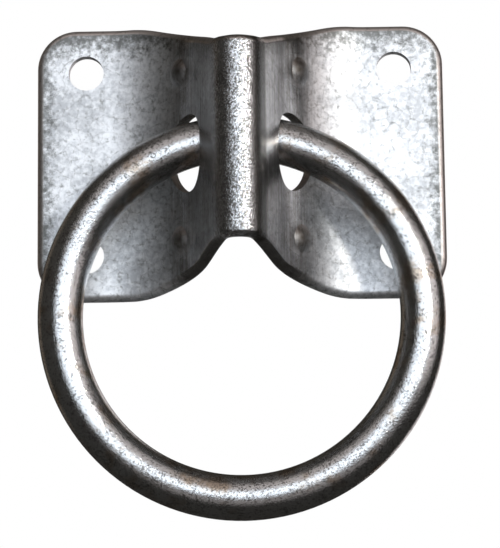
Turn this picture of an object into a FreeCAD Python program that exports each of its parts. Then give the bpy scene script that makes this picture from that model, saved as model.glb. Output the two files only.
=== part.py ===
import FreeCAD, Part
import math
import os
import Sketcher

# Tie ring: a round ring threaded through the raised rib of a bent steel plate, screwed flat to a wall.
# The wall is the plane Y = 0, the front faces -Y, X runs across the plate and Z runs up.
# The origin is the middle of the screw pattern, on the plate's back.
# All lengths are in millimetres and all angles in degrees.

SIZES = [
    ("plate_width", 98.4),
    ("plate_height", 66.8),
    ("flange_corner_radius", 9.6),
    ("sheet_thickness", 2.7),
    ("rib_reach", 35.0),
    ("crown_radius", 5.9),
    ("flank_angle", 70.5),
    ("foot_radius", 22.7),
    ("edge_rounding", 1.7),
    ("screw_hole_diameter", 8.5),
    ("screw_spacing_across", 74.6),
    ("screw_spacing_up", 45.0),
    ("waist_depth", 9.95),
    ("waist_straight", 13.2),
    ("waist_angle", 16.7),
    ("waist_throat_radius", 10.0),
    ("waist_end_radius", 25.0),
    ("waist_run_out_angle", 3.0),
    ("ring_inside_diameter", 74.2),
    ("ring_bar_diameter", 10.6),
    ("weld_swell", 0.4),
    ("weld_width", 2.4),
    ("slot_play_across", 4.6),
    ("slot_play_up", 8.1),
    ("slot_from_middle", 25.7),
    ("bar_below_slot_top", 0.6),
    ("dimple_from_middle", 29.8),
    ("dimple_from_centre_line", 20.3),
    ("dimple_height", 1.4),
    ("dimple_radius", 4.2),
    ("dimple_flare_radius", 3.0),
    ("dimple_pit_radius", 1.7),
]

document = FreeCAD.newDocument("tie_ring")
sheet = document.addObject("Spreadsheet::Sheet", "dimensions")
for row, (alias, size) in enumerate(SIZES, start=1):
    sheet.set("A%d" % row, alias)
    sheet.set("B%d" % row, str(size))
    sheet.setAlias("B%d" % row, alias)
document.recompute()


def size_of(alias):
    return float(sheet.get(alias))


def bound(alias):
    return "dimensions." + alias


# The bent section
# The front face is a half-round crown, two steep flanks and two wide foot arcs that run out into
# the flanges. Places on the sheet are given as on the flat blank before bending: the distance along
# the front face from the middle of the crown, the height, and the depth below the front face.

thickness = size_of("sheet_thickness")
rib_reach = size_of("rib_reach")
crown_radius = size_of("crown_radius")
foot_radius = size_of("foot_radius")
half_width = size_of("plate_width") / 2
half_height = size_of("plate_height") / 2
flank = math.radians(size_of("flank_angle"))
arc_reach = (crown_radius + foot_radius) * (1 - math.cos(flank))
flank_length = (rib_reach - thickness - arc_reach) / math.sin(flank)
flank_start = crown_radius * flank
foot_start = flank_start + flank_length
flange_start = foot_start + foot_radius * flank
flank_foot_x = crown_radius * math.sin(flank) + flank_length * math.cos(flank)
flange_start_x = flank_foot_x + foot_radius * math.sin(flank)


def slope_at(distance):
    run = abs(distance)
    if run < flank_start:
        return run / crown_radius
    if run < foot_start:
        return flank
    if run < flange_start:
        return flank - (run - foot_start) / foot_radius
    return 0.0


def folded(distance, depth, height):
    run = abs(distance)
    slope = slope_at(distance)
    if run < flank_start:
        x = crown_radius * math.sin(slope)
        reach = rib_reach - crown_radius * (1 - math.cos(slope))
    elif run < foot_start:
        x = crown_radius * math.sin(flank) + (run - flank_start) * math.cos(flank)
        reach = rib_reach - crown_radius * (1 - math.cos(flank)) - (run - flank_start) * math.sin(flank)
    else:
        x = flank_foot_x + foot_radius * (math.sin(flank) - math.sin(slope)) + max(0.0, run - flange_start)
        reach = thickness + foot_radius * (1 - math.cos(slope))
    side = math.copysign(1.0, distance)
    return FreeCAD.Vector(side * (x - depth * math.sin(slope)), -(reach - depth * math.cos(slope)), height)


def curve_on_sheet(places, depth):
    curve = Part.BSplineCurve()
    curve.interpolate([folded(distance, depth, height) for distance, height in places])
    return curve.toShape()


# Section line: the front face of the sheet seen from above, drawn left to right.
section_line = document.addObject("Sketcher::SketchObject", "section_line")
crown_centre = FreeCAD.Vector(0, crown_radius - rib_reach, 0)
crown_end = folded(flank_start, 0, 0)
foot_end = folded(foot_start, 0, 0)
flange_end = FreeCAD.Vector(flange_start_x, -thickness, 0)
foot_centre = FreeCAD.Vector(flange_start_x, -thickness - foot_radius, 0)
plate_end = FreeCAD.Vector(half_width, -thickness, 0)


def mirrored(point):
    return FreeCAD.Vector(-point.x, point.y, point.z)


def arc(centre, radius, first_angle, last_angle):
    circle = Part.Circle(centre, FreeCAD.Vector(0, 0, 1), radius)
    return Part.ArcOfCircle(circle, first_angle, last_angle)


quarter = math.pi / 2
left_flange = section_line.addGeometry(Part.LineSegment(mirrored(plate_end), mirrored(flange_end)))
left_foot = section_line.addGeometry(arc(mirrored(foot_centre), foot_radius, quarter - flank, quarter))
left_flank = section_line.addGeometry(Part.LineSegment(mirrored(crown_end), mirrored(foot_end)))
crown = section_line.addGeometry(arc(crown_centre, crown_radius, -quarter - flank, -quarter + flank))
right_flank = section_line.addGeometry(Part.LineSegment(crown_end, foot_end))
right_foot = section_line.addGeometry(arc(foot_centre, foot_radius, quarter, quarter + flank))
right_flange = section_line.addGeometry(Part.LineSegment(flange_end, plate_end))

START, END, CENTRE = range(1, 4)
X_AXIS, Y_AXIS = range(-1, -3, -1)
ORIGIN = (X_AXIS, START)
joins = [
    (left_flange, END, left_foot, END),
    (left_foot, START, left_flank, END),
    (left_flank, START, crown, START),
    (crown, END, right_flank, START),
    (right_flank, END, right_foot, END),
    (right_foot, START, right_flange, START),
]
for join in joins:
    section_line.addConstraint(Sketcher.Constraint("Tangent", *join))
section_line.addConstraint(Sketcher.Constraint("Horizontal", left_flange))
section_line.addConstraint(Sketcher.Constraint("Horizontal", right_flange))
section_line.addConstraint(Sketcher.Constraint("PointOnObject", crown, CENTRE, Y_AXIS))
section_line.addConstraint(Sketcher.Constraint("Equal", left_foot, right_foot))


def drive(sketch, constraint, formula):
    index = sketch.addConstraint(constraint)
    sketch.setExpression("Constraints[%d]" % index, formula)


drive(section_line, Sketcher.Constraint("Radius", crown, crown_radius), bound("crown_radius"))
drive(section_line, Sketcher.Constraint("Radius", right_foot, foot_radius), bound("foot_radius"))
drive(section_line,
      Sketcher.Constraint("DistanceY", crown, CENTRE, *ORIGIN, rib_reach - crown_radius),
      bound("rib_reach") + " - " + bound("crown_radius"))
for flange in (left_flange, right_flange):
    drive(section_line, Sketcher.Constraint("DistanceY", flange, END, *ORIGIN, thickness),
          bound("sheet_thickness"))
drive(section_line, Sketcher.Constraint("DistanceX", left_flange, START, *ORIGIN, half_width),
      bound("plate_width") + " / 2")
drive(section_line, Sketcher.Constraint("DistanceX", *ORIGIN, right_flange, END, half_width),
      bound("plate_width") + " / 2")
drive(section_line, Sketcher.Constraint("Angle", right_flank, flank), bound("flank_angle") + " * 1 deg")
drive(section_line, Sketcher.Constraint("Angle", left_flank, math.pi - flank),
      "180 deg - " + bound("flank_angle") + " * 1 deg")
document.recompute()

section = document.addObject("Part::Offset2D", "section")
section.Source = section_line
section.setExpression("Value", "-" + bound("sheet_thickness"))
section.Mode = "Skin"
section.Fill = True

bent_sheet = document.addObject("Part::Extrusion", "bent_sheet")
bent_sheet.Base = section
bent_sheet.DirMode = "Custom"
bent_sheet.Dir = FreeCAD.Vector(0, 0, 1)
bent_sheet.Solid = True
bent_sheet.Symmetric = True
bent_sheet.setExpression("LengthFwd", bound("plate_height"))


# Front view of the plate: a rectangle with rounded corners and its four screw holes.
def origin_plane(body, role):
    return [feature for feature in body.Origin.OriginFeatures if feature.Role == role][0]


outline = document.addObject("PartDesign::Body", "outline")
outline_sketch = outline.newObject("Sketcher::SketchObject", "outline_sketch")
outline_sketch.AttachmentSupport = [(origin_plane(outline, "XZ_Plane"), "")]
outline_sketch.MapMode = "FlatFace"
corner = size_of("flange_corner_radius")
corners = [(1, 1), (-1, 1), (-1, -1), (1, -1)]
edges = []
arcs = []
for index, (side, level) in enumerate(corners):
    centre = FreeCAD.Vector(side * (half_width - corner), level * (half_height - corner), 0)
    arcs.append(outline_sketch.addGeometry(arc(centre, corner, index * quarter, (index + 1) * quarter)))
for index in range(len(corners)):
    first = outline_sketch.getPoint(arcs[index], END)
    last = outline_sketch.getPoint(arcs[(index + 1) % len(corners)], START)
    edges.append(outline_sketch.addGeometry(Part.LineSegment(first, last)))
for index in range(len(corners)):
    following = (index + 1) % len(corners)
    outline_sketch.addConstraint(Sketcher.Constraint("Tangent", arcs[index], END, edges[index], START))
    outline_sketch.addConstraint(Sketcher.Constraint("Tangent", edges[index], END, arcs[following], START))
for index in (0, 2):
    outline_sketch.addConstraint(Sketcher.Constraint("Horizontal", edges[index]))
    outline_sketch.addConstraint(Sketcher.Constraint("Vertical", edges[index + 1]))
for index in (1, 2, 3):
    outline_sketch.addConstraint(Sketcher.Constraint("Equal", arcs[0], arcs[index]))
drive(outline_sketch, Sketcher.Constraint("Radius", arcs[0], corner), bound("flange_corner_radius"))
top_edge, left_edge, bottom_edge, right_edge = edges
drive(outline_sketch, Sketcher.Constraint("DistanceX", *ORIGIN, right_edge, START, half_width),
      bound("plate_width") + " / 2")
drive(outline_sketch, Sketcher.Constraint("DistanceX", left_edge, START, *ORIGIN, half_width),
      bound("plate_width") + " / 2")
drive(outline_sketch, Sketcher.Constraint("DistanceY", *ORIGIN, top_edge, START, half_height),
      bound("plate_height") + " / 2")
drive(outline_sketch, Sketcher.Constraint("DistanceY", bottom_edge, START, *ORIGIN, half_height),
      bound("plate_height") + " / 2")

hole_radius = size_of("screw_hole_diameter") / 2
hole_x = size_of("screw_spacing_across") / 2
hole_z = size_of("screw_spacing_up") / 2
for side, level in corners:
    centre = FreeCAD.Vector(side * hole_x, level * hole_z, 0)
    hole = outline_sketch.addGeometry(Part.Circle(centre, FreeCAD.Vector(0, 0, 1), hole_radius))
    across = ORIGIN + (hole, CENTRE) if side > 0 else (hole, CENTRE) + ORIGIN
    upward = ORIGIN + (hole, CENTRE) if level > 0 else (hole, CENTRE) + ORIGIN
    drive(outline_sketch, Sketcher.Constraint("DistanceX", *across, hole_x),
          bound("screw_spacing_across") + " / 2")
    drive(outline_sketch, Sketcher.Constraint("DistanceY", *upward, hole_z),
          bound("screw_spacing_up") + " / 2")
    drive(outline_sketch, Sketcher.Constraint("Diameter", hole, 2 * hole_radius),
          bound("screw_hole_diameter"))
document.recompute()

outline_pad = outline.newObject("PartDesign::Pad", "outline_pad")
outline_pad.Profile = outline_sketch
outline_pad.SideType = "Symmetric"
outline_pad.setExpression("Length", "4 * " + bound("rib_reach"))
document.recompute()

plate_stock = document.addObject("Part::MultiCommon", "plate_stock")
plate_stock.Shapes = [bent_sheet, outline]


# Waist: the blank narrows towards the rib, so the bent rib is shorter than the flanges.
# Each edge of the blank runs straight across the crown, bends outwards by an arc into a straight slope,
# and meets the flange's edge by a wide arc at the run-out angle. The cutting walls reach past the sheet
# by CLEAR on every side.
CLEAR = 1.0
WAIST_SAMPLES = 51
waist_depth = size_of("waist_depth")
waist_slope = math.radians(size_of("waist_angle"))
throat_radius = size_of("waist_throat_radius")
waist_end_radius = size_of("waist_end_radius")
run_out_slope = math.radians(size_of("waist_run_out_angle"))
throat_start = size_of("waist_straight") / 2
throat_end = throat_start + throat_radius * math.sin(waist_slope)
throat_rise = throat_radius * (1 - math.cos(waist_slope))
end_arc_rise = waist_end_radius * (math.cos(run_out_slope) - math.cos(waist_slope))
slope_end = throat_end + (waist_depth - throat_rise - end_arc_rise) / math.tan(waist_slope)
waist_end = slope_end + waist_end_radius * (math.sin(waist_slope) - math.sin(run_out_slope))


def waist_at(distance):
    run = abs(distance)
    if run < throat_start:
        return waist_depth
    if run < throat_end:
        return waist_depth - throat_radius + math.sqrt(throat_radius ** 2 - (run - throat_start) ** 2)
    if run < slope_end:
        return waist_depth - throat_rise - (run - throat_end) * math.tan(waist_slope)
    if run < waist_end:
        end_centre = waist_end + waist_end_radius * math.sin(run_out_slope)
        drop = math.sqrt(waist_end_radius ** 2 - (end_centre - run) ** 2)
        return waist_end_radius * math.cos(run_out_slope) - drop
    return -(run - waist_end) * math.tan(run_out_slope)


def spread(first, last, count):
    return [first + (last - first) * index / (count - 1) for index in range(count)]


def wall_through_sheet(places):
    front = curve_on_sheet(places, -CLEAR)
    back = curve_on_sheet(places, thickness + CLEAR)
    return Part.makeRuledSurface(front, back)


trim_reach = waist_end + 2 * CLEAR
trim_places = [(run, half_height - waist_at(run)) for run in spread(-trim_reach, trim_reach, WAIST_SAMPLES)]
waist_wall = wall_through_sheet(trim_places)
waist_top = document.addObject("Part::Feature", "waist_top")
waist_top.Shape = waist_wall.extrude(FreeCAD.Vector(0, 0, waist_depth + 2 * CLEAR))
waist_bottom = document.addObject("Part::Mirroring", "waist_bottom")
waist_bottom.Source = waist_top
waist_bottom.Normal = FreeCAD.Vector(0, 0, 1)


# Slots for the ring: round-ended holes punched in the flat blank, one through each foot of the rib.
bar_diameter = size_of("ring_bar_diameter")
slot_radius = (bar_diameter + size_of("slot_play_across")) / 2
slot_half_height = (bar_diameter + size_of("slot_play_up")) / 2
slot_straight = slot_half_height - slot_radius
slot_middle = size_of("slot_from_middle")
SLOT_SAMPLES = 13


def slot_edge(level):
    places = []
    for turn in spread(0, math.pi, SLOT_SAMPLES):
        run = slot_middle - slot_radius * math.cos(turn)
        places.append((run, level * (slot_straight + slot_radius * math.sin(turn))))
    return places


def slot_side(run):
    return [(run, -slot_straight), (run, slot_straight)]


upper, lower = slot_edge(1), slot_edge(-1)
slot_faces = [
    wall_through_sheet(upper),
    wall_through_sheet(lower),
    wall_through_sheet(slot_side(slot_middle - slot_radius)),
    wall_through_sheet(slot_side(slot_middle + slot_radius)),
]
for depth in (-CLEAR, thickness + CLEAR):
    slot_faces.append(Part.makeRuledSurface(curve_on_sheet(upper, depth), curve_on_sheet(lower, depth)))
slot_shell = Part.makeShell(slot_faces)
slot_shell.sewShape()
slot_right = document.addObject("Part::Feature", "slot_right")
slot_right.Shape = Part.makeSolid(slot_shell)
slot_left = document.addObject("Part::Mirroring", "slot_left")
slot_left.Source = slot_right
slot_left.Normal = FreeCAD.Vector(1, 0, 0)


# Dimples: four round bumps pressed from behind, which stiffen the foot of the rib near its corners.
# Each is a dome with a flared foot in front and the punch's pointed pit behind. The flare's lip ends
# SUNK below the front face, so that it dies into the sheet in one clean line.
dimple_height = size_of("dimple_height")
dimple_radius = size_of("dimple_radius")
flare_radius = size_of("dimple_flare_radius")
pit_radius = size_of("dimple_pit_radius")
SUNK = 0.15
dome_centre = dimple_height - dimple_radius
flare_centre = flare_radius - SUNK
dimple_foot = math.sqrt((dimple_radius + flare_radius) ** 2 - (flare_centre - dome_centre) ** 2)
flare_tilt = math.atan2(dimple_foot, flare_centre - dome_centre)


def turned_solid(outline_edges):
    profile = Part.Face(Part.Wire(outline_edges))
    return profile.revolve(FreeCAD.Vector(), FreeCAD.Vector(0, 0, 1), 360)


def arc_through(first, middle, last):
    return Part.Arc(FreeCAD.Vector(*first), FreeCAD.Vector(*middle), FreeCAD.Vector(*last)).toShape()


def line_between(first, last):
    return Part.LineSegment(FreeCAD.Vector(*first), FreeCAD.Vector(*last)).toShape()


def on_dome(radius, centre, tilt):
    return (radius * math.sin(tilt), 0, centre + radius * math.cos(tilt))


def on_flare(tilt):
    return (dimple_foot - flare_radius * math.sin(tilt), 0, flare_centre - flare_radius * math.cos(tilt))


dimple_root = -thickness / 2
bump = turned_solid([
    arc_through(on_dome(dimple_radius, dome_centre, 0), on_dome(dimple_radius, dome_centre, flare_tilt / 2),
                on_dome(dimple_radius, dome_centre, flare_tilt)),
    arc_through(on_flare(flare_tilt), on_flare(flare_tilt / 2), on_flare(0)),
    line_between(on_flare(0), (dimple_foot, 0, dimple_root)),
    line_between((dimple_foot, 0, dimple_root), (0, 0, dimple_root)),
    line_between((0, 0, dimple_root), on_dome(dimple_radius, dome_centre, 0)),
])
pit_mouth = -thickness - 2 * CLEAR
pit = turned_solid([
    line_between((0, 0, 0), (pit_radius, 0, -pit_radius)),
    line_between((pit_radius, 0, -pit_radius), (pit_radius, 0, pit_mouth)),
    line_between((pit_radius, 0, pit_mouth), (0, 0, pit_mouth)),
    line_between((0, 0, pit_mouth), (0, 0, 0)),
])
bumps = []
pits = []
for side, level in corners:
    run = side * size_of("dimple_from_middle")
    seat = folded(run, 0, level * size_of("dimple_from_centre_line"))
    outward = folded(run, -1, 0) - folded(run, 0, 0)
    facing = FreeCAD.Rotation(FreeCAD.Vector(0, 0, 1), outward)
    for group, shape, name in ((bumps, bump, "bump"), (pits, pit, "pit")):
        item = document.addObject("Part::Feature", name + "_%d" % (len(group) + 1))
        item.Shape = shape
        item.Placement = FreeCAD.Placement(seat, facing)
        group.append(item)

raised = document.addObject("Part::MultiFuse", "raised")
raised.Shapes = [plate_stock] + bumps
cuts = document.addObject("Part::Compound", "cuts")
cuts.Links = [waist_top, waist_bottom, slot_left, slot_right] + pits
pierced = document.addObject("Part::Cut", "pierced")
pierced.Base = raised
pierced.Tool = cuts
document.recompute()


# The blanking punch leaves the outline of the front face rounded. The holes and slots keep sharp rims.
def on_front_outline(edge):
    first, last = edge.ParameterRange
    points = [edge.valueAt(value) for value in spread(first, last, EDGE_SAMPLES)]
    for point in points:
        foot = Part.Vertex(FreeCAD.Vector(point.x, point.y, 0))
        on_front = section_line.Shape.distToShape(foot)[0] < ON_FACE
        inside = abs(point.x) < inner_width and abs(point.z) < inner_height
        if inside or not on_front:
            return False
    return True


EDGE_SAMPLES = 5
ON_FACE = CLEAR / 1000
edge_rounding = size_of("edge_rounding")
inner_width = hole_x + hole_radius
inner_height = half_height - waist_depth - CLEAR
plate = document.addObject("Part::Fillet", "plate")
plate.Base = pierced
plate.Edges = [
    (number, edge_rounding, edge_rounding)
    for number, edge in enumerate(pierced.Shape.Edges, start=1)
    if on_front_outline(edge)
]
plate.Label = "mounting_plate"


# Ring: a straight bar bent round after it was passed through both slots, and butt-welded inside the rib.
# It hangs parallel to the wall, its bar centred in the slots' width and just under their upper ends.
centreline_radius = (size_of("ring_inside_diameter") + bar_diameter) / 2
centreline_formula = "((" + bound("ring_inside_diameter") + " + " + bound("ring_bar_diameter") + ") / 2)"
slot_centre = folded(slot_middle, 0, 0)
bar_rise = slot_half_height - bar_diameter / 2 - size_of("bar_below_slot_top")

ring = document.addObject("PartDesign::Body", "ring")
bar_section = ring.newObject("Sketcher::SketchObject", "bar_section")
bar_section.AttachmentSupport = [(origin_plane(ring, "XY_Plane"), "")]
bar_section.MapMode = "FlatFace"
bar_centre = FreeCAD.Vector(centreline_radius, 0, 0)
bar_circle = bar_section.addGeometry(Part.Circle(bar_centre, FreeCAD.Vector(0, 0, 1), bar_diameter / 2))
bar_section.addConstraint(Sketcher.Constraint("PointOnObject", bar_circle, CENTRE, X_AXIS))
drive(bar_section, Sketcher.Constraint("DistanceX", *ORIGIN, bar_circle, CENTRE, centreline_radius),
      centreline_formula)
drive(bar_section, Sketcher.Constraint("Diameter", bar_circle, bar_diameter), bound("ring_bar_diameter"))
document.recompute()
bent_bar = ring.newObject("PartDesign::Revolution", "bent_bar")
bent_bar.Profile = bar_section
bent_bar.ReferenceAxis = (bar_section, ["V_Axis"])
bent_bar.Angle = 360
document.recompute()
weld_section = ring.newObject("Sketcher::SketchObject", "weld_section")
weld_section.AttachmentSupport = [(origin_plane(ring, "YZ_Plane"), "")]
weld_section.MapMode = "FlatFace"
weld_radius = bar_diameter / 2 + size_of("weld_swell")
weld_centre = FreeCAD.Vector(0, centreline_radius, 0)
weld_circle = weld_section.addGeometry(Part.Circle(weld_centre, FreeCAD.Vector(0, 0, 1), weld_radius))
weld_section.addConstraint(Sketcher.Constraint("PointOnObject", weld_circle, CENTRE, Y_AXIS))
drive(weld_section, Sketcher.Constraint("DistanceY", *ORIGIN, weld_circle, CENTRE, centreline_radius),
      centreline_formula)
drive(weld_section, Sketcher.Constraint("Radius", weld_circle, weld_radius),
      bound("ring_bar_diameter") + " / 2 + " + bound("weld_swell"))
document.recompute()
weld = ring.newObject("PartDesign::Revolution", "weld")
weld.Profile = weld_section
weld.ReferenceAxis = (weld_section, ["H_Axis"])
weld.Midplane = True
weld.setExpression("Angle", bound("weld_width") + " / " + centreline_formula + " * 180 / pi * 1 deg")
ring.Label = "ring"
ring.Placement = FreeCAD.Placement(
    FreeCAD.Vector(0, slot_centre.y, bar_rise - centreline_radius), FreeCAD.Rotation())
document.recompute()

for item in document.Objects:
    if "Invalid" in item.State or "Error" in item.State:
        raise RuntimeError(item.Label + " did not build")

os.makedirs("parts", exist_ok=True)
for node in (plate, ring):
    if node.Shape.isNull() or not node.Shape.isValid():
        raise RuntimeError(node.Label + " has no valid shape")
    node.Shape.exportStep(os.path.join("parts", node.Label + ".step"))
    print(node.Label, "volume", round(node.Shape.Volume, 1), "solids", len(node.Shape.Solids))
print("bar centre", slot_centre.y, bar_rise, "clear", plate.Shape.distToShape(ring.Shape)[0])
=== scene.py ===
import bmesh
import bpy
import math
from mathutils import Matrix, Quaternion, Vector


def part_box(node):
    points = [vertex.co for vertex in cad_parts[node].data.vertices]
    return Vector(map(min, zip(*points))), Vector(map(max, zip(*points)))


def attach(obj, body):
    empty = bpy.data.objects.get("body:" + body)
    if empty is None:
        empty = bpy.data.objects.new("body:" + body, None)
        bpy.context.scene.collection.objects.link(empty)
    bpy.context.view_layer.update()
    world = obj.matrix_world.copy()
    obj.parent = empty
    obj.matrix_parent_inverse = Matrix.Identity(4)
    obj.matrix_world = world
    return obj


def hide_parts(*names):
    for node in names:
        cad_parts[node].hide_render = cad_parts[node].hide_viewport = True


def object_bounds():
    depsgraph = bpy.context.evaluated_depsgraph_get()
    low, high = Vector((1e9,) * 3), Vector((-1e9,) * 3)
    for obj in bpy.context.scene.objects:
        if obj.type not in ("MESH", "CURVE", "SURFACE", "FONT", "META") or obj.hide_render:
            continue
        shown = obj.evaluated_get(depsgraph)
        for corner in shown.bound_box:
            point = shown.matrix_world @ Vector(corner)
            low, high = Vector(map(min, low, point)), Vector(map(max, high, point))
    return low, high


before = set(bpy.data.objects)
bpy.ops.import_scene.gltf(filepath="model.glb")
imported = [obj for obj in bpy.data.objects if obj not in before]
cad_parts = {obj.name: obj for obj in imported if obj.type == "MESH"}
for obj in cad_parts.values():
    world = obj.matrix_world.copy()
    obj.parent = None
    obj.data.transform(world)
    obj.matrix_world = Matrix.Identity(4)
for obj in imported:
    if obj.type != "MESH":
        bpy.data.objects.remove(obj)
cad_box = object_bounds()

# Mounting plate
# One sheet of cold-rolled steel, blanked and pierced flat, then folded into a hollow rib with a half-round
# crown. Its two flanges are screwed to the wall, and the ring hangs in the two slots of the rib.
MM = 0.001


def srgb(hex_code):
    channels = [int(hex_code[i:i + 2], 16) / 255 for i in (1, 3, 5)]
    linear = [c / 12.92 if c <= 0.04045 else ((c + 0.055) / 1.055) ** 2.4 for c in channels]
    return (*linear, 1.0)


def add_node(tree, kind, sockets=None, **settings):
    node = tree.nodes.new(kind)
    for name, value in settings.items():
        setattr(node, name, value)
    for socket, value in (sockets or {}).items():
        if isinstance(value, bpy.types.NodeSocket):
            tree.links.new(value, node.inputs[socket])
        else:
            node.inputs[socket].default_value = value
    return node


def new_material(name):
    material = bpy.data.materials.new(name)
    material.use_nodes = True
    material.node_tree.nodes.clear()
    return material


# The sheet's loose triangles are joined into one skin, so that its shading runs smoothly round the bends
# and breaks only at the sheared edges. The CAD's own normals would undo that, so they are removed.
SAME_POINT = 0.002 * MM
SHEARED_CORNER = math.radians(38)
LARGEST_FACES_LEAD = 100

plate_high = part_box("mounting_plate")[1]
shell = bmesh.new()
shell.from_mesh(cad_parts["mounting_plate"].data)
bmesh.ops.remove_doubles(shell, verts=shell.verts, dist=SAME_POINT)
bmesh.ops.dissolve_degenerate(shell, edges=shell.edges, dist=SAME_POINT)
for face in shell.faces:
    face.smooth = True
for edge in shell.edges:
    edge.smooth = len(edge.link_faces) == 2 and edge.calc_face_angle() < SHEARED_CORNER
plate_mesh = bpy.data.meshes.new("folded sheet")
shell.to_mesh(plate_mesh)
shell.free()
if "custom_normal" in plate_mesh.attributes:
    plate_mesh.attributes.remove(plate_mesh.attributes["custom_normal"])
plate = bpy.data.objects.new("folded_plate", plate_mesh)
bpy.context.scene.collection.objects.link(plate)
weighting = plate.modifiers.new("bend shading", "WEIGHTED_NORMAL")
weighting.weight = LARGEST_FACES_LEAD
weighting.keep_sharp = True
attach(plate, "plate")
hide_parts("mounting_plate")

# Bright zinc plating is a thin crystalline coat of metal. On flat sheet it looks cloudy: pale bluish blooms
# between fine dark threads, with a duller border where the coat is thin and holds dirt. On the bends it is
# smooth and shiny, because the folding tool has rubbed it.
sheet_zinc = new_material("bright zinc plated steel sheet")
tree = sheet_zinc.node_tree
coordinates = add_node(tree, "ShaderNodeTexCoord").outputs
place = coordinates["Object"]
mirrored_place = add_node(tree, "ShaderNodeVectorMath", {0: place}, operation="ABSOLUTE").outputs[0]
parts = add_node(tree, "ShaderNodeSeparateXYZ", {"Vector": place}).outputs
outward = add_node(tree, "ShaderNodeSeparateXYZ", {"Vector": mirrored_place}).outputs

# Large blooms and small mottling shift the coat between grey and pale.
BLOOM = 11 * MM
MOTTLE = 1.2 * MM
MOTTLE_SHOWS = (0.82, 1.15)

blooms = add_node(tree, "ShaderNodeTexNoise", {"Vector": place, "Scale": 1 / BLOOM, "Detail": 4.0,
                                               "Roughness": 0.6}).outputs["Fac"]
mottle = add_node(tree, "ShaderNodeTexNoise", {"Vector": place, "Scale": 1 / MOTTLE, "Detail": 3.0,
                                               "Roughness": 0.6}).outputs["Fac"]
mottle = add_node(tree, "ShaderNodeMath", {0: mottle, 1: blooms}, operation="ADD").outputs[0]
mottle_mask = add_node(tree, "ShaderNodeMapRange", {"Value": mottle, "From Min": MOTTLE_SHOWS[0],
                                                    "From Max": MOTTLE_SHOWS[1]}).outputs["Result"]

# Dirt gathers along the two sides and the top edge, broken up by smudges.
SMUDGE = 1.5 * MM
SIDE_BORDER = 5.5 * MM
TOP_BORDER = 9 * MM
BORDER_DIRT = 0.32
DIRT_SHOWS = (0.50, 0.82)

smudges = add_node(tree, "ShaderNodeTexNoise", {"Vector": place, "Scale": 1 / SMUDGE, "Detail": 6.0,
                                                "Roughness": 0.72}).outputs["Fac"]
side_border = add_node(tree, "ShaderNodeMapRange", {
    "Value": outward["X"], "From Min": plate_high[0] - SIDE_BORDER,
    "From Max": plate_high[0]}).outputs["Result"]
top_border = add_node(tree, "ShaderNodeMapRange", {
    "Value": parts["Z"], "From Min": plate_high[2] - TOP_BORDER,
    "From Max": plate_high[2]}).outputs["Result"]
border = add_node(tree, "ShaderNodeMath", {0: side_border, 1: top_border}, operation="MAXIMUM").outputs[0]
dirt = add_node(tree, "ShaderNodeMath", {0: border, 1: BORDER_DIRT, 2: smudges},
                operation="MULTIPLY_ADD").outputs[0]
dirt_mask = add_node(tree, "ShaderNodeMapRange", {"Value": dirt, "From Min": DIRT_SHOWS[0],
                                                  "From Max": DIRT_SHOWS[1]},
                     interpolation_type="SMOOTHSTEP").outputs["Result"]

# Fine dark threads run between the crystals and show only in places. The real ones are about 0.1 mm wide,
# too fine to show, so each fades out over 0.24 mm to either side.
CRACKLE = 3.2 * MM
THREAD_FADE = 0.24 * MM
WANDER = 1.9 * MM
THREADS_SHOW = (0.40, 0.60)
THREAD_STRENGTH = 0.45

wander = add_node(tree, "ShaderNodeTexNoise", {"Vector": place, "Scale": 1 / WANDER, "Detail": 3.0,
                                               "Roughness": 0.5}).outputs["Color"]
bent_place = add_node(tree, "ShaderNodeVectorMath", {0: wander, 1: (WANDER, WANDER, WANDER), 2: place},
                      operation="MULTIPLY_ADD").outputs[0]
crackle = add_node(tree, "ShaderNodeTexVoronoi", {"Vector": bent_place, "Scale": 1 / CRACKLE},
                   feature="DISTANCE_TO_EDGE").outputs["Distance"]
thread_lines = add_node(tree, "ShaderNodeMapRange", {"Value": crackle, "From Max": THREAD_FADE / CRACKLE,
                                                     "To Min": 1.0, "To Max": 0.0}).outputs["Result"]
threads_seen = add_node(tree, "ShaderNodeMapRange", {
    "Value": smudges, "From Min": THREADS_SHOW[0], "From Max": THREADS_SHOW[1],
    "To Max": THREAD_STRENGTH}).outputs["Result"]
threads = add_node(tree, "ShaderNodeMath", {0: thread_lines, 1: threads_seen},
                   operation="MULTIPLY").outputs[0]

# The punch leaves a rounded edge with a thin coat, and the steel under it shows through pinkish along the two
# sides. Every upward-facing surface gets the same pale pink as a painted sheen of the light from above.
PUNCHED_EDGE = 1.7 * MM
UPWARD_SHEEN_TILT = (0.10, 0.35)

facing = add_node(tree, "ShaderNodeSeparateXYZ", {"Vector": coordinates["Normal"]}).outputs
# Painted sheen: surfaces that face up are made paler and pinker, as if lit from above.
upward_sheen = add_node(tree, "ShaderNodeMapRange", {"Value": facing["Z"], "From Min": UPWARD_SHEEN_TILT[0],
                                                 "From Max": UPWARD_SHEEN_TILT[1]}).outputs["Result"]
side_edge = add_node(tree, "ShaderNodeMapRange", {
    "Value": outward["X"], "From Min": plate_high[0] - PUNCHED_EDGE,
    "From Max": plate_high[0] - PUNCHED_EDGE / 2}).outputs["Result"]
sheen_and_punched_edge = add_node(tree, "ShaderNodeMath", {0: upward_sheen, 1: side_edge}, operation="MAXIMUM").outputs[0]

# The folding tool draws brown streaks up the bends, and fewer on the crown. Both are found by how far
# they stand in front of the wall, which is at Y = 0. The real draw lines are under 0.1 mm apart, too fine
# to show, so they are drawn 0.5 mm apart.
BENDS_FROM, BENDS_WHOLE = -3.5 * MM, -12.5 * MM
CROWN_FROM, CROWN_WHOLE = -28 * MM, -31.5 * MM
DRAW_LINE = 0.5 * MM
DRAWN_OUT = (1, 1, 0.03)
LOST_ON_CROWN = 0.7

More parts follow.
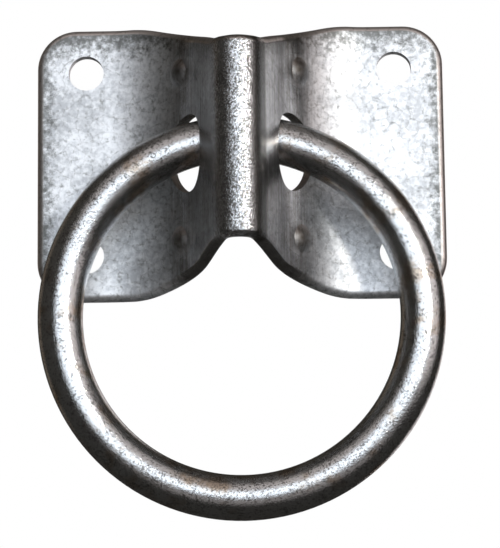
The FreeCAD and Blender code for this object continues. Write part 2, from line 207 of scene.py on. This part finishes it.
bend_mask = add_node(tree, "ShaderNodeMapRange", {"Value": parts["Y"], "From Min": BENDS_FROM,
                                                  "From Max": BENDS_WHOLE},
                     interpolation_type="SMOOTHSTEP").outputs["Result"]
crown_mask = add_node(tree, "ShaderNodeMapRange", {"Value": parts["Y"], "From Min": CROWN_FROM,
                                                   "From Max": CROWN_WHOLE}).outputs["Result"]
streak_place = add_node(tree, "ShaderNodeVectorMath", {0: place, 1: DRAWN_OUT},
                        operation="MULTIPLY").outputs[0]
streaks = add_node(tree, "ShaderNodeTexNoise", {"Vector": streak_place, "Scale": 1 / DRAW_LINE,
                                                "Detail": 3.0}).outputs["Fac"]
streak_mask = add_node(tree, "ShaderNodeMath", {0: crown_mask, 1: -LOST_ON_CROWN, 2: bend_mask},
                       operation="MULTIPLY_ADD").outputs[0]
streaks_seen = add_node(tree, "ShaderNodeMath", {0: streaks, 1: streak_mask},
                        operation="MULTIPLY").outputs[0]

# On the crown the crystals sparkle one by one between dark flecks. A real crystal is about 0.1 mm across,
# too fine to show, so the flecks are drawn 0.45 mm across.
FLECK = 0.45 * MM
FLECKS_SHOW = (0.48, 0.58)
FLECK_STRENGTH = 0.8

flecks = add_node(tree, "ShaderNodeTexNoise", {"Vector": place, "Scale": 1 / FLECK, "Detail": 2.0,
                                               "Roughness": 0.7}).outputs["Fac"]
dark_flecks = add_node(tree, "ShaderNodeMapRange", {
    "Value": flecks, "From Min": FLECKS_SHOW[0], "From Max": FLECKS_SHOW[1],
    "To Max": FLECK_STRENGTH}).outputs["Result"]
dark_flecks = add_node(tree, "ShaderNodeMath", {0: dark_flecks, 1: crown_mask},
                       operation="MULTIPLY").outputs[0]

# The crown is dark along its right fold, where it mirrors a dark part of the room, so a painted dark
# reflection runs down that fold.
FOLD_FROM, FOLD_WHOLE = 2.3 * MM, 4.5 * MM
FOLD_DEPTH_FROM, FOLD_DEPTH_WHOLE = -28 * MM, -29.2 * MM
FOLD_REFLECTION_STRENGTH = 0.78

fold_side = add_node(tree, "ShaderNodeMapRange", {"Value": parts["X"], "From Min": FOLD_FROM,
                                                  "From Max": FOLD_WHOLE},
                     interpolation_type="SMOOTHSTEP").outputs["Result"]
fold_depth = add_node(tree, "ShaderNodeMapRange", {
    "Value": parts["Y"], "From Min": FOLD_DEPTH_FROM, "From Max": FOLD_DEPTH_WHOLE,
    "To Max": FOLD_REFLECTION_STRENGTH}).outputs["Result"]
painted_fold_reflection = add_node(tree, "ShaderNodeMath", {0: fold_side, 1: fold_depth},
                     operation="MULTIPLY").outputs[0]

# The four dimples are hit in with a round punch, which leaves them dull. Their hollow middles are darkened
# with painted shade.
DIMPLE_PLACE = (14.5 * MM, 0, 20.3 * MM)
DIMPLE_RADIUS = 4.4 * MM
DIMPLE_SHADE_RADIUS = 0.8 * DIMPLE_RADIUS
SEEN_FROM_FRONT = (1, 0, 1)

from_dimple = add_node(tree, "ShaderNodeVectorMath", {0: mirrored_place, 1: DIMPLE_PLACE},
                       operation="SUBTRACT").outputs[0]
from_dimple = add_node(tree, "ShaderNodeVectorMath", {0: from_dimple, 1: SEEN_FROM_FRONT},
                       operation="MULTIPLY").outputs[0]
from_dimple = add_node(tree, "ShaderNodeVectorMath", {0: from_dimple}, operation="LENGTH").outputs["Value"]
dimple_mask = add_node(tree, "ShaderNodeMapRange", {"Value": from_dimple, "From Min": DIMPLE_RADIUS,
                                                    "From Max": DIMPLE_RADIUS / 2}).outputs["Result"]
dimple_painted_shade = add_node(tree, "ShaderNodeMapRange", {"Value": from_dimple, "From Min": DIMPLE_SHADE_RADIUS,
                                                    "From Max": 0.0}).outputs["Result"]

# Each layer of colour, and then of roughness, covers the ones before it where its mask shows it.
GREY_COAT = "#CCD0D4"
PALE_COAT = "#F7FAFD"
DIRT = "#7E807F"
# Partly a painted sheen on upward-facing surfaces, partly the thin coat on the side edges.
SHEEN_AND_THIN_COAT = "#D9D2CE"
THREAD_GREY = "#666866"
STREAK_BROWN = "#5E4F41"
FLECK_GREY = "#5D594F"
# A painted dark reflection along the crown's right fold.
FOLD_REFLECTION_GREY = "#47443E"
# Painted shade in the middle of each dimple.
DIMPLE_SHADE_GREY = "#4E4A44"
BLOOM_SPAN = (0.3, 0.7)
COAT_ROUGHNESS = (0.53, 0.46)
BEND_ROUGHNESS = 0.24
DIMPLE_ROUGHNESS = 0.5
EDGE_ROUGHNESS = 0.36
CROWN_ROUGHNESS = 0.22
RIPPLE_HEIGHT = 0.03 * MM
CRYSTAL_HEIGHT = 0.15 * MM

coat_color = srgb(GREY_COAT)
for mask, color in ((mottle_mask, PALE_COAT), (dirt_mask, DIRT), (sheen_and_punched_edge, SHEEN_AND_THIN_COAT),
                    (threads, THREAD_GREY), (streaks_seen, STREAK_BROWN), (dark_flecks, FLECK_GREY),
                    (painted_fold_reflection, FOLD_REFLECTION_GREY), (dimple_painted_shade, DIMPLE_SHADE_GREY)):
    coat_color = add_node(tree, "ShaderNodeMix", {"Factor": mask, "A": coat_color, "B": srgb(color)},
                          data_type="RGBA").outputs["Result"]
coat_rough = add_node(tree, "ShaderNodeMapRange", {
    "Value": blooms, "From Min": BLOOM_SPAN[0], "From Max": BLOOM_SPAN[1],
    "To Min": COAT_ROUGHNESS[0], "To Max": COAT_ROUGHNESS[1]}).outputs["Result"]
for mask, roughness in ((bend_mask, BEND_ROUGHNESS), (dimple_mask, DIMPLE_ROUGHNESS),
                        (sheen_and_punched_edge, EDGE_ROUGHNESS), (crown_mask, CROWN_ROUGHNESS)):
    coat_rough = add_node(tree, "ShaderNodeMix", {"Factor": mask, "A": coat_rough, "B": roughness},
                          data_type="FLOAT").outputs["Result"]
ripples = add_node(tree, "ShaderNodeBump", {"Height": smudges, "Strength": 1.0, "Distance": RIPPLE_HEIGHT})
crystals = add_node(tree, "ShaderNodeBump", {"Height": flecks, "Strength": crown_mask,
                                             "Distance": CRYSTAL_HEIGHT,
                                             "Normal": ripples.outputs["Normal"]})
sheet_shader = add_node(tree, "ShaderNodeBsdfPrincipled", {
    "Base Color": coat_color, "Metallic": 1.0, "Roughness": coat_rough,
    "Normal": crystals.outputs["Normal"]})
add_node(tree, "ShaderNodeOutputMaterial", {"Surface": sheet_shader.outputs[0]})
plate_mesh.materials.append(sheet_zinc)

# Ring
# One length of round mild steel bar, passed through both slots, bent round and butt welded inside the rib,
# which hides the weld. Its mesh is the CAD's own, which has the right shape.
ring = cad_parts["ring"]

# Barrel plating tumbles the bars against each other, so this zinc is coarser than the sheet's: bright
# glints and dark grains on a grey coat, with warm stains. A real grain is about 0.1 mm across, too fine to
# show, so the grains are drawn 0.42 mm across.
STAIN = 9 * MM
STAINS_SHOW = (0.50, 0.66)
GRAIN = 0.42 * MM
SCUFF = 2.0 * MM
SCUFF_SHARE = 0.5
GRAINS_SHOW = (0.78, 0.88)
GRAIN_STRENGTH = 0.75
GRAIN_HEIGHT = 0.06 * MM
BAR_COAT = "#D4D6D7"
WARM_STAIN = "#B9AD9F"
GRAIN_GREY = "#4B4843"
BAR_ROUGHNESS = 0.19

bar_zinc = new_material("barrel zinc plated steel bar")
tree = bar_zinc.node_tree
place = add_node(tree, "ShaderNodeTexCoord").outputs["Object"]
stains = add_node(tree, "ShaderNodeTexNoise", {"Vector": place, "Scale": 1 / STAIN, "Detail": 5.0,
                                               "Roughness": 0.6}).outputs["Fac"]
stain_mask = add_node(tree, "ShaderNodeMapRange", {"Value": stains, "From Min": STAINS_SHOW[0],
                                                   "From Max": STAINS_SHOW[1]},
                      interpolation_type="SMOOTHSTEP").outputs["Result"]
grains = add_node(tree, "ShaderNodeTexNoise", {"Vector": place, "Scale": 1 / GRAIN, "Detail": 2.0,
                                               "Roughness": 0.8}).outputs["Fac"]
scuffs = add_node(tree, "ShaderNodeTexNoise", {"Vector": place, "Scale": 1 / SCUFF, "Detail": 4.0,
                                               "Roughness": 0.7}).outputs["Fac"]
dark_grains = add_node(tree, "ShaderNodeMath", {0: scuffs, 1: SCUFF_SHARE, 2: grains},
                       operation="MULTIPLY_ADD").outputs[0]
dark_grains = add_node(tree, "ShaderNodeMapRange", {
    "Value": dark_grains, "From Min": GRAINS_SHOW[0], "From Max": GRAINS_SHOW[1],
    "To Max": GRAIN_STRENGTH}).outputs["Result"]
bar_color = srgb(BAR_COAT)
for mask, color in ((stain_mask, WARM_STAIN), (dark_grains, GRAIN_GREY)):
    bar_color = add_node(tree, "ShaderNodeMix", {"Factor": mask, "A": bar_color, "B": srgb(color)},
                         data_type="RGBA").outputs["Result"]
bar_bump = add_node(tree, "ShaderNodeBump", {"Height": grains, "Strength": 1.0, "Distance": GRAIN_HEIGHT})
bar_shader = add_node(tree, "ShaderNodeBsdfPrincipled", {
    "Base Color": bar_color, "Metallic": 1.0, "Roughness": BAR_ROUGHNESS,
    "Normal": bar_bump.outputs["Normal"]})
add_node(tree, "ShaderNodeOutputMaterial", {"Surface": bar_shader.outputs[0]})
ring.data.materials.clear()
ring.data.materials.append(bar_zinc)

# Floor
# A plain pale sheet of matt paper, well below the ring and wide enough for every view.
# The metal doesn't mirror it, because a plate on a wall has no floor close under it.
FLOOR_DROP = 1600 * MM
FLOOR_SIZE = 1400 * MM
FLOOR_WHITE = "#EDEDEB"
FLOOR_ROUGHNESS = 0.9

bpy.ops.mesh.primitive_plane_add(size=FLOOR_SIZE, location=(0, 0, cad_box[0][2] - FLOOR_DROP))
floor = bpy.context.object
floor.name = "floor"
floor.visible_glossy = False
floor_paint = new_material("matt white floor")
tree = floor_paint.node_tree
floor_shader = add_node(tree, "ShaderNodeBsdfPrincipled", {"Base Color": srgb(FLOOR_WHITE),
                                                           "Roughness": FLOOR_ROUGHNESS})
add_node(tree, "ShaderNodeOutputMaterial", {"Surface": floor_shader.outputs[0]})
floor.data.materials.append(floor_paint)

# Studio light
# Two softboxes stand side by side round the camera, with a small bright lamp to their right for the
# glints. Large dim panels above, below, beside and behind lighten what the polished bends mirror.
COOL_CLOTH = "#EAF1FA"
WARM_LAMP = "#FFF9F0"
PINK_CLOTH = "#F1E7E5"
ROSE_CLOTH = "#F3E8E6"
TAN_CLOTH = "#E6CDB4"
LAMPS = (
    # name, azimuth and elevation in degrees, distance, width and height in metres, radiance, colour
    ("key softbox", 19, 8, 0.8, 0.62, 0.42, 2.2, COOL_CLOTH),
    ("side softbox", -12, 8, 0.8, 0.3, 0.42, 1.75, COOL_CLOTH),
    ("key lamp", 31, 12, 1.05, 0.12, 0.12, 50, WARM_LAMP),
    ("upper panel", 5, 43, 1.1, 1.6, 0.8, 0.56, PINK_CLOTH),
    ("top panel", 0, 84, 1.1, 1.0, 0.7, 0.12, PINK_CLOTH),
    ("low fill panel", 8, -24, 1.1, 1.2, 0.56, 0.25, ROSE_CLOTH),
    ("right panel", 60, 10, 1.1, 0.8, 0.8, 0.95, ROSE_CLOTH),
    ("right rear panel", 152, 8, 1.2, 0.45, 1.2, 1.1, ROSE_CLOTH),
    ("left panel", -126, 8, 1.2, 0.45, 1.2, 0.15, TAN_CLOTH),
)


def way_out(azimuth, elevation):
    turn, rise = math.radians(azimuth), math.radians(elevation)
    return Vector((math.sin(turn) * math.cos(rise), -math.cos(turn) * math.cos(rise), math.sin(rise)))


lit_point = Vector((0, 0, (cad_box[0][2] + cad_box[1][2]) / 2))
for name, azimuth, elevation, distance, width, height, radiance, color in LAMPS:
    towards = way_out(azimuth, elevation)
    light = bpy.data.lights.new(name, "AREA")
    light.shape = "RECTANGLE"
    light.size, light.size_y = width, height
    light.energy = radiance * math.pi * width * height
    light.color = srgb(color)[:3]
    lamp = bpy.data.objects.new(name, light)
    lamp.visible_camera = False
    lamp.location = lit_point + towards * distance
    lamp.rotation_mode = "QUATERNION"
    lamp.rotation_quaternion = (-towards).to_track_quat("-Z", "Y")
    bpy.context.scene.collection.objects.link(lamp)

# The camera sees plain white. The metal mirrors a dark room, a little lighter towards its ceiling, with
# the white background straight behind the plate. Everything else gets an even soft light.
ROOM_LOW = "#2A2825"
ROOM_HIGH = "#38342F"
WHITE = "#FFFFFF"
ROOM_SPAN = (-0.6, 0.9)
STRAIGHT_BEHIND = (0.985, 0.998)
SOFT_LIGHT = 0.7

world = bpy.data.worlds.new("pale studio")
bpy.context.scene.world = world
world.use_nodes = True
tree = world.node_tree
tree.nodes.clear()
direction = add_node(tree, "ShaderNodeTexCoord").outputs["Generated"]
heading = add_node(tree, "ShaderNodeSeparateXYZ", {"Vector": direction}).outputs
room_height = add_node(tree, "ShaderNodeMapRange", {"Value": heading["Z"], "From Min": ROOM_SPAN[0],
                                                    "From Max": ROOM_SPAN[1]},
                       interpolation_type="SMOOTHSTEP").outputs["Result"]
behind = add_node(tree, "ShaderNodeMapRange", {"Value": heading["Y"], "From Min": STRAIGHT_BEHIND[0],
                                               "From Max": STRAIGHT_BEHIND[1]},
                  interpolation_type="SMOOTHSTEP").outputs["Result"]
mirrored = srgb(ROOM_LOW)
for mask, color in ((room_height, ROOM_HIGH), (behind, WHITE)):
    mirrored = add_node(tree, "ShaderNodeMix", {"Factor": mask, "A": mirrored, "B": srgb(color)},
                        data_type="RGBA").outputs["Result"]
soft_light = add_node(tree, "ShaderNodeBackground", {"Color": srgb(WHITE), "Strength": SOFT_LIGHT}).outputs[0]
reflected = add_node(tree, "ShaderNodeBackground", {"Color": mirrored, "Strength": 1.0}).outputs[0]
white = add_node(tree, "ShaderNodeBackground", {"Color": srgb(WHITE), "Strength": 1.0}).outputs[0]
path = add_node(tree, "ShaderNodeLightPath").outputs
seen = add_node(tree, "ShaderNodeMath", {0: path["Is Camera Ray"], 1: path["Is Transmission Ray"]},
                operation="MAXIMUM").outputs[0]
room_light = add_node(tree, "ShaderNodeMixShader", {"Fac": path["Is Glossy Ray"], 1: soft_light,
                                                    2: reflected}).outputs[0]
room_light = add_node(tree, "ShaderNodeMixShader", {"Fac": seen, 1: room_light, 2: white}).outputs[0]
add_node(tree, "ShaderNodeOutputWorld", {"Surface": room_light})

# Camera
# In front of the plate and a little below its middle, looking slightly up, as the photograph was taken.
# Its angles are in degrees and its focal length in millimetres.
CAMERA_DISTANCE = 540.8 * MM
CAMERA_AZIMUTH = 0.93
CAMERA_ELEVATION = -8.93
CAMERA_ROLL = 0.68
FOCAL_LENGTH = 147.8
AIMED_AT = Vector((1.86 * MM, 0, -26.93 * MM))

back = way_out(CAMERA_AZIMUTH, CAMERA_ELEVATION)
lens = bpy.data.cameras.new("camera")
lens.lens = FOCAL_LENGTH
camera = bpy.data.objects.new("camera", lens)
camera.location = AIMED_AT + back * CAMERA_DISTANCE
camera.rotation_mode = "QUATERNION"
roll = Quaternion((0, 0, 1), math.radians(-CAMERA_ROLL))
camera.rotation_quaternion = (-back).to_track_quat("-Z", "Y") @ roll
bpy.context.scene.collection.objects.link(camera)
bpy.context.scene.camera = camera

bpy.context.scene.view_settings.view_transform = "Standard"
